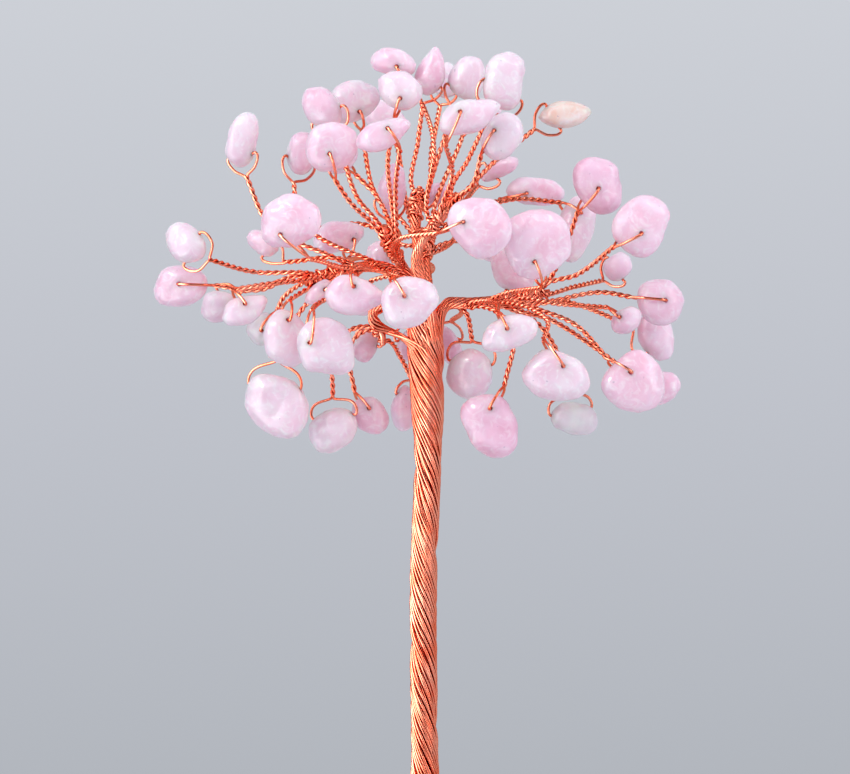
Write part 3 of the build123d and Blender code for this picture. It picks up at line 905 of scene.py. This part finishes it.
def tumble(piece):
    """Turns a broken chip into a tumbled one of nearly the same size."""
    open_merged(piece)
    bpy.ops.mesh.convex_hull()
    bpy.ops.mesh.dissolve_limited(angle_limit=BROKEN_FLAT)
    bpy.ops.transform.edge_crease(value=CREASE)
    bpy.ops.object.mode_set(mode="OBJECT")
    low, high = size_box(piece)
    modified(piece, "rolled", "SUBSURF", levels=2, render_levels=2)
    modified(piece, "even_skin", "REMESH", mode="VOXEL", voxel_size=GRIT)
    modified(piece, "ground", "SMOOTH", iterations=8)
    modified(piece, "lumps", "DISPLACE", texture=lumps, texture_coords="GLOBAL", strength=LUMP_DEPTH)
    modified(piece, "dents", "DISPLACE", texture=dents, texture_coords="GLOBAL", strength=DENT_DEPTH)
    modified(piece, "polished", "SMOOTH", iterations=4)
    modified(piece, "fine", "SUBSURF", levels=1, render_levels=1)
    bpy.ops.object.convert(target="MESH")
    new_low, new_high = size_box(piece)
    stretch = Matrix.Diagonal([SNUG * (high[k] - low[k]) / (new_high[k] - new_low[k]) for k in range(3)])
    for v in piece.data.vertices:
        v.co = (low + high) / 2 + stretch @ (v.co - (new_low + new_high) / 2)


print("tumbled stones are", SNUG, "of the frame's chips across")

# %% [markdown]
# The hole is cut last, so that the tumbling can't close it or move it off its line.

# %% Drilling
HOLE = 0.44 * MM
HOLE_SIDES = 20
RIGHT_THROUGH = 1.5  # the bit's length, in distances between the eye's ends


def drill(piece, ends):
    """Drills the hole that the eye goes through."""
    axis = ends[1] - ends[0]
    bpy.ops.mesh.primitive_cylinder_add(
        vertices=HOLE_SIDES, radius=HOLE, depth=axis.length * RIGHT_THROUGH, location=(ends[0] + ends[1]) / 2,
        rotation=axis.to_track_quat("Z", "Y").to_euler())
    bit = bpy.context.object
    modified(piece, "hole", "BOOLEAN", object=bit, operation="DIFFERENCE")
    only(piece)
    bpy.ops.object.modifier_apply(modifier="hole")
    bpy.data.objects.remove(bit)


print("holes", round(2 * HOLE / MM, 2), "mm across")


# %% [markdown]
# Which stone is which comes from the picture: fifteen chips are marked by their pixel, and the rest are milky or
# pale by a fixed throw of the dice. A chip is then taken apart from its neighbours, tumbled, drilled along the line
# between its eye's two ends, and joined to the stones that it shares a node with.

# %% Stones chosen by their place in the picture
STONE_SEED = 3
UNMARKED = ("milky", "milky", "milky", "pale")
MARK_REACH = 10 * PIXEL
marked = {
    "clear": [(263, 329), (575, 419)],
    "orange": [(565, 114)],
    "violet": [(392, 186), (438, 192), (489, 424), (597, 185), (450, 345)],
    "pale": [(509, 333), (243, 140), (470, 118), (246, 309), (410, 303), (184, 240), (505, 80)],
}
marked_spots = [(kind, at_pixel(*pixel)) for kind, pixels in marked.items() for pixel in pixels]
dice = random.Random(STONE_SEED)


def kind_of(centre):
    """The kind of stone for a chip: the one that is marked there, or a throw of the dice."""
    flat = Vector((centre.x, 0, centre.z))
    thrown = dice.choice(UNMARKED)
    for kind, spot in marked_spots:
        if (flat - spot).length < MARK_REACH:
            return kind
    return thrown


def separate_parts(node, name):
    """A copy of a node, as one object for each of its solids."""
    open_merged(new_piece(name, nodes[node].data.copy()))
    bpy.ops.mesh.separate(type="LOOSE")
    bpy.ops.object.mode_set(mode="OBJECT")
    return list(bpy.context.selected_objects)


for node in sorted(name for name in nodes if "_chip" in name):
    limb = next(name for name in sorted(limbs, key=len, reverse=True) if node.startswith(name + "_"))
    eyes = [eye_of(*twig)[0] for twig in twigs[limb]]
    stones = separate_parts(node, node + "_stone")
    for stone in stones:
        low, high = size_box(stone)
        chip_centre = (low + high) / 2
        ends = min(eyes, key=lambda ends: ((ends[0] + ends[1]) / 2 - chip_centre).length)
        tumble(stone)
        drill(stone, ends)
        stone.data.materials.clear()
        stone.data.materials.append(quartz[kind_of(chip_centre)])
    piece = joined(stones, node.replace("_chip_", "_stone_").replace("_fixed_chips", "_fixed_stones"))
    bpy.ops.object.shade_smooth_by_angle(angle=radians(40))
    body = "tree" if node.endswith("_fixed_chips") else node
    finish_piece(piece, body, node, slot="rose_quartz")
    print(piece.name, len(stones), "stones", len(piece.data.polygons), "faces")

# %% [markdown]
# ## The slab
# The foot is a slice of agate. Its faces are sawn and polished, and its rim keeps the rough rind. The frame's slab
# gives its outline. A copy is cut finer, and its rim alone is pressed in here and there, so that it stays as large
# as the frame's.

# %% The slab's shape
SLAB_GRAIN = 0.7 * MM
RIND_LUMPS = 2.6 * MM
RIND_DEPTH = 1.1 * MM
SHARP_EDGE = 1.0 * MM  # so far from the polished faces the rind isn't pressed in fully
RIM, RIM_FADE = 0.12, 0.08  # the rim's share of the slab's half width, and where it fades out
slab = new_piece("agate_slab", nodes["base_slab"].data.copy())
slab_low, slab_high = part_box("base_slab")
open_merged(slab)
bpy.ops.object.mode_set(mode="OBJECT")
modified(slab, "even_skin", "REMESH", mode="VOXEL", voxel_size=SLAB_GRAIN)
bpy.ops.object.modifier_apply(modifier="even_skin")
rind = bpy.data.textures.new("rind", "CLOUDS")
rind.noise_scale = RIND_LUMPS
rind.noise_depth = 3
rim = slab.vertex_groups.new(name="rim")
for v in slab.data.vertices:
    inset = 1 - sqrt((v.co.x / slab_high.x) ** 2 + (v.co.y / slab_high.y) ** 2)
    face = min(v.co.z - slab_low.z, slab_high.z - v.co.z)
    rim.add([v.index], eased(face / SHARP_EDGE) * eased((RIM - inset) / RIM_FADE), "REPLACE")
modified(slab, "rough", "DISPLACE", texture=rind, texture_coords="LOCAL", vertex_group="rim", mid_level=1.0,
         strength=RIND_DEPTH)
bpy.ops.object.modifier_apply(modifier="rough")
bpy.ops.object.shade_smooth_by_angle(angle=radians(35))
print(slab.name, "rim", sum(1 for v in slab.data.vertices if v.groups), "corners weighed")

# %% [markdown]
# An agate grew in layers from its rind inwards, so the bands of a slice follow its outline. A ramp read by the
# distance from the middle gives them, once that distance is measured in the slab's own half widths and pushed about
# by a little noise. A second, much finer set of lines lies over the broad bands, and clouds fade it here and there.

# %% Agate
BAND_WAVES = 16 * MM
FINE_BAND = 0.012
MILKY_DEPTH = 1.5 * MM
SAW_MARKS = 0.05 * MM
BANDS = (  # places from the middle to the rind, and the layer's colour there
    (0.00, (0.90, 0.84, 0.84)), (0.20, (0.93, 0.88, 0.88)), (0.24, (0.62, 0.36, 0.36)),
    (0.27, (0.90, 0.78, 0.76)), (0.36, (0.94, 0.90, 0.88)), (0.39, (0.66, 0.40, 0.38)),
    (0.42, (0.86, 0.68, 0.65)), (0.50, (0.95, 0.92, 0.90)), (0.53, (0.58, 0.32, 0.29)),
    (0.56, (0.80, 0.58, 0.53)), (0.62, (0.94, 0.90, 0.86)), (0.66, (0.52, 0.28, 0.23)),
    (0.69, (0.84, 0.66, 0.58)), (0.76, (0.92, 0.86, 0.79)), (0.79, (0.46, 0.27, 0.20)),
    (0.83, (0.80, 0.64, 0.53)), (0.89, (0.50, 0.33, 0.24)), (0.96, (0.33, 0.23, 0.18)),
)


def agate_finish(name):
    """Polished agate: bands that follow the rim, a crystal heart, and a rough rind."""
    material, tree, shader, place = new_material(
        name, IOR=1.54, Subsurface_Weight=0.35, Subsurface_Scale=MILKY_DEPTH)
    shifted = tree.nodes.new("ShaderNodeVectorMath")
    shifted.operation = "MULTIPLY_ADD"
    shifted.inputs[1].default_value = (BAND_WAVES, BAND_WAVES, 0)
    tree.links.new(noise(tree, place, 42, detail=5, output="Color"), shifted.inputs[0])
    tree.links.new(place, shifted.inputs[2])
    flat = tree.nodes.new("ShaderNodeMapping")
    flat.inputs["Location"].default_value = (-BAND_WAVES / 2 / slab_high.x, -BAND_WAVES / 2 / slab_high.y, 0)
    flat.inputs["Scale"].default_value = (1 / slab_high.x, 1 / slab_high.y, 0)
    tree.links.new(shifted.outputs["Vector"], flat.inputs["Vector"])
    reach = tree.nodes.new("ShaderNodeVectorMath")
    reach.operation = "LENGTH"
    tree.links.new(flat.outputs["Vector"], reach.inputs[0])
    bands = ramp(tree, reach.outputs["Value"], *BANDS)
    rings = tree.nodes.new("ShaderNodeMath")
    rings.operation = "PINGPONG"
    rings.inputs[1].default_value = FINE_BAND
    tree.links.new(reach.outputs["Value"], rings.inputs[0])
    sawtooth = ranged(tree, rings.outputs[0], top=FINE_BAND)
    lines = ramp(tree, sawtooth, (0.0, (0.80, 0.72, 0.70)), (0.5, (1, 1, 1)))
    cloudy = noise(tree, flat.outputs["Vector"], 26, detail=6)
    clouds = ramp(tree, cloudy, (0.4, (0.88, 0.84, 0.84)), (0.6, (1, 1, 1)))
    fine = blended(tree, clouds, lines, clouds)
    shade = tree.nodes.new("ShaderNodeMix")
    shade.data_type = "RGBA"
    shade.blend_type = "MULTIPLY"
    shade.inputs["Factor"].default_value = 1.0
    tree.links.new(bands, shade.inputs["A"])
    tree.links.new(fine, shade.inputs["B"])
    tree.links.new(shade.outputs["Result"], shader.inputs["Base Color"])
    dullness = ramp(tree, reach.outputs["Value"], (0.93, (0.12,) * 3), (0.99, (0.65,) * 3))
    tree.links.new(dullness, shader.inputs["Roughness"])
    bumped(tree, shader, noise(tree, place, 900, detail=4), SAW_MARKS, 0.15)
    return material


slab.data.materials.clear()
slab.data.materials.append(agate_finish("banded_agate"))
finish_piece(slab, "tree", "base_slab", slot="agate")
print(slab.name, len(slab.data.polygons), "faces")

# %% [markdown]
# ## Floor, backdrop and light
# The picture's background is a plain grey that gets a little lighter upwards. A wall behind the tree shows that
# grey to the camera, and to what copper and quartz reflect and let through, and from behind it can't be seen. Its
# own shader gives out the grey as light for those three kinds of ray, so that no lamp changes it. The floor is a
# plain pale surface that keeps the tree's shadow, and the camera sees it as grey as the wall's foot.

# %% The floor and the wall
FLOOR_DROP = 0.02 * MM  # so that it doesn't flicker with the slab's underside
WALL = 0.65
WALL_GREYS = (0.0, (0.445, 0.468, 0.510)), (0.5, (0.527, 0.546, 0.600)), (1.0, (0.610, 0.632, 0.680))
WALL_FADE = 0.20  # the height at which the wall has its lightest grey


def grey(level, tint=(1.0, 1.02, 1.06)):
    """A slightly cool grey."""
    return tuple(level * part for part in tint)


def sheet(name, spot, size, turn=(0, 0, 0)):
    """A flat sheet for the set, with its place and size applied."""
    bpy.ops.mesh.primitive_plane_add(size=1, location=spot, rotation=turn)
    piece = bpy.context.object
    piece.name = name
    piece.scale = (*size, 1)
    bpy.ops.object.transform_apply(location=True, rotation=True, scale=True)
    return piece


def chosen(tree, share, low, high):
    """Two shaders mixed by a share."""
    node = tree.nodes.new("ShaderNodeMixShader")
    tree.links.new(share, node.inputs["Fac"])
    tree.links.new(low, node.inputs[1])
    tree.links.new(high, node.inputs[2])
    return node.outputs[0]


floor = sheet("floor", (0, -0.7, -FLOOR_DROP), (5, 2.7))
floor_finish, tree, shader, place = new_material("pale_floor", Roughness=0.85, Specular_IOR_Level=0.1)
path = tree.nodes.new("ShaderNodeLightPath")
cloth = noise(tree, place, 6)
lit = ramp(tree, cloth, (0.3, grey(0.60)), (0.7, grey(0.63)))
seen = ramp(tree, cloth, (0.3, grey(0.405)), (0.7, grey(0.415)))
tree.links.new(blended(tree, path.outputs["Is Camera Ray"], lit, seen), shader.inputs["Base Color"])
floor.data.materials.append(floor_finish)

wall = sheet("backdrop", (0, WALL, 1.0), (5, 2.04), turn=(pi / 2, 0, 0))
wall_finish, tree, shader, place = new_material("backdrop_grey", Roughness=1.0)
height = tree.nodes.new("ShaderNodeSeparateXYZ")
tree.links.new(place, height.inputs[0])
shown = ramp(tree, ranged(tree, height.outputs["Z"], top=WALL_FADE), *WALL_GREYS)
tree.links.new(shown, shader.inputs["Base Color"])
glow = tree.nodes.new("ShaderNodeEmission")
tree.links.new(shown, glow.inputs["Color"])
path = tree.nodes.new("ShaderNodeLightPath")
any_ray = path.outputs["Is Camera Ray"]
for ray in ("Is Glossy Ray", "Is Transmission Ray"):
    either = tree.nodes.new("ShaderNodeMath")
    either.operation = "ADD"
    either.use_clamp = True
    tree.links.new(any_ray, either.inputs[0])
    tree.links.new(path.outputs[ray], either.inputs[1])
    any_ray = either.outputs[0]
side_seen = tree.nodes.new("ShaderNodeNewGeometry")
nothing = tree.nodes.new("ShaderNodeBsdfTransparent")
front = chosen(tree, any_ray, shader.outputs[0], glow.outputs[0])
surface = chosen(tree, side_seen.outputs["Backfacing"], front, nothing.outputs[0])
tree.links.new(surface, tree.nodes["Material Output"].inputs["Surface"])
wall.data.materials.append(wall_finish)
print("set", floor.name, wall.name)

# %% [markdown]
# The stones and the floor are lit by a soft lamp from the upper left, a weaker one from the right, and an even sky.
# Copper is another matter, because it shows nothing but what it mirrors. So it has panels of its own, to the left, to
# the right, above, and low on the table, and one small lamp beside the main one for its glints. Only the reflections
# of metal and polish see these, and the sky that they mirror is nearly dark, so that the wires' sides fall to a
# deep red.

# %% The lamps and the sky
KEY_SPOT = (-0.60, -0.60, 0.65)
CARD_SPOT = (-0.36, -0.20, 0.004)
SKY = ((0.93, 0.96, 1.0, 1), 1.16)
MIRRORED_ROOM = ((1.0, 0.9, 0.85, 1), 0.03)


def lamp(name, spot, size, power, for_metal=False, target=FORK):
    """A soft lamp that faces the tree's fork. One for metal lights nothing, and is only mirrored."""
    bpy.ops.object.light_add(type="AREA", location=spot)
    light = bpy.context.object
    light.name = name
    light.data.shape = "RECTANGLE"
    light.data.size, light.data.size_y = size
    light.data.energy = power
    light.rotation_euler = (Vector(target) - Vector(spot)).to_track_quat("-Z", "Y").to_euler()
    light.visible_camera = False
    light.visible_diffuse = not for_metal
    light.visible_glossy = for_metal
    light.visible_transmission = not for_metal


lamp("key_lamp", KEY_SPOT, (0.36, 0.36), 2.4)
lamp("fill_lamp", (0.85, -0.50, 0.40), (0.4, 0.4), 2.0)
lamp("left_panel", (-0.72, -0.40, 0.42), (1.00, 1.00), 18.0, for_metal=True)
lamp("table_card", CARD_SPOT, (0.50, 0.36), 3.0, for_metal=True, target=(*CARD_SPOT[:2], 1.0))
lamp("right_panel", (0.80, -0.30, 0.45), (0.40, 0.80), 4.0, for_metal=True)
lamp("glint_lamp", KEY_SPOT, (0.12, 0.12), 3.0, for_metal=True)
lamp("top_panel", (-0.10, -0.30, 0.95), (0.70, 0.45), 2.2, for_metal=True)
world = bpy.data.worlds.new("even_sky")
bpy.context.scene.world = world
world.use_nodes = True
tree = world.node_tree
sky = tree.nodes["Background"]
dim_room = tree.nodes.new("ShaderNodeBackground")
for background, (colour, strength) in ((sky, SKY), (dim_room, MIRRORED_ROOM)):
    background.inputs["Color"].default_value = colour
    background.inputs["Strength"].default_value = strength
path = tree.nodes.new("ShaderNodeLightPath")
surface = chosen(tree, path.outputs["Is Glossy Ray"], sky.outputs[0], dim_room.outputs[0])
tree.links.new(surface, tree.nodes["World Output"].inputs["Surface"])
bpy.context.scene.view_settings.view_transform = "Standard"
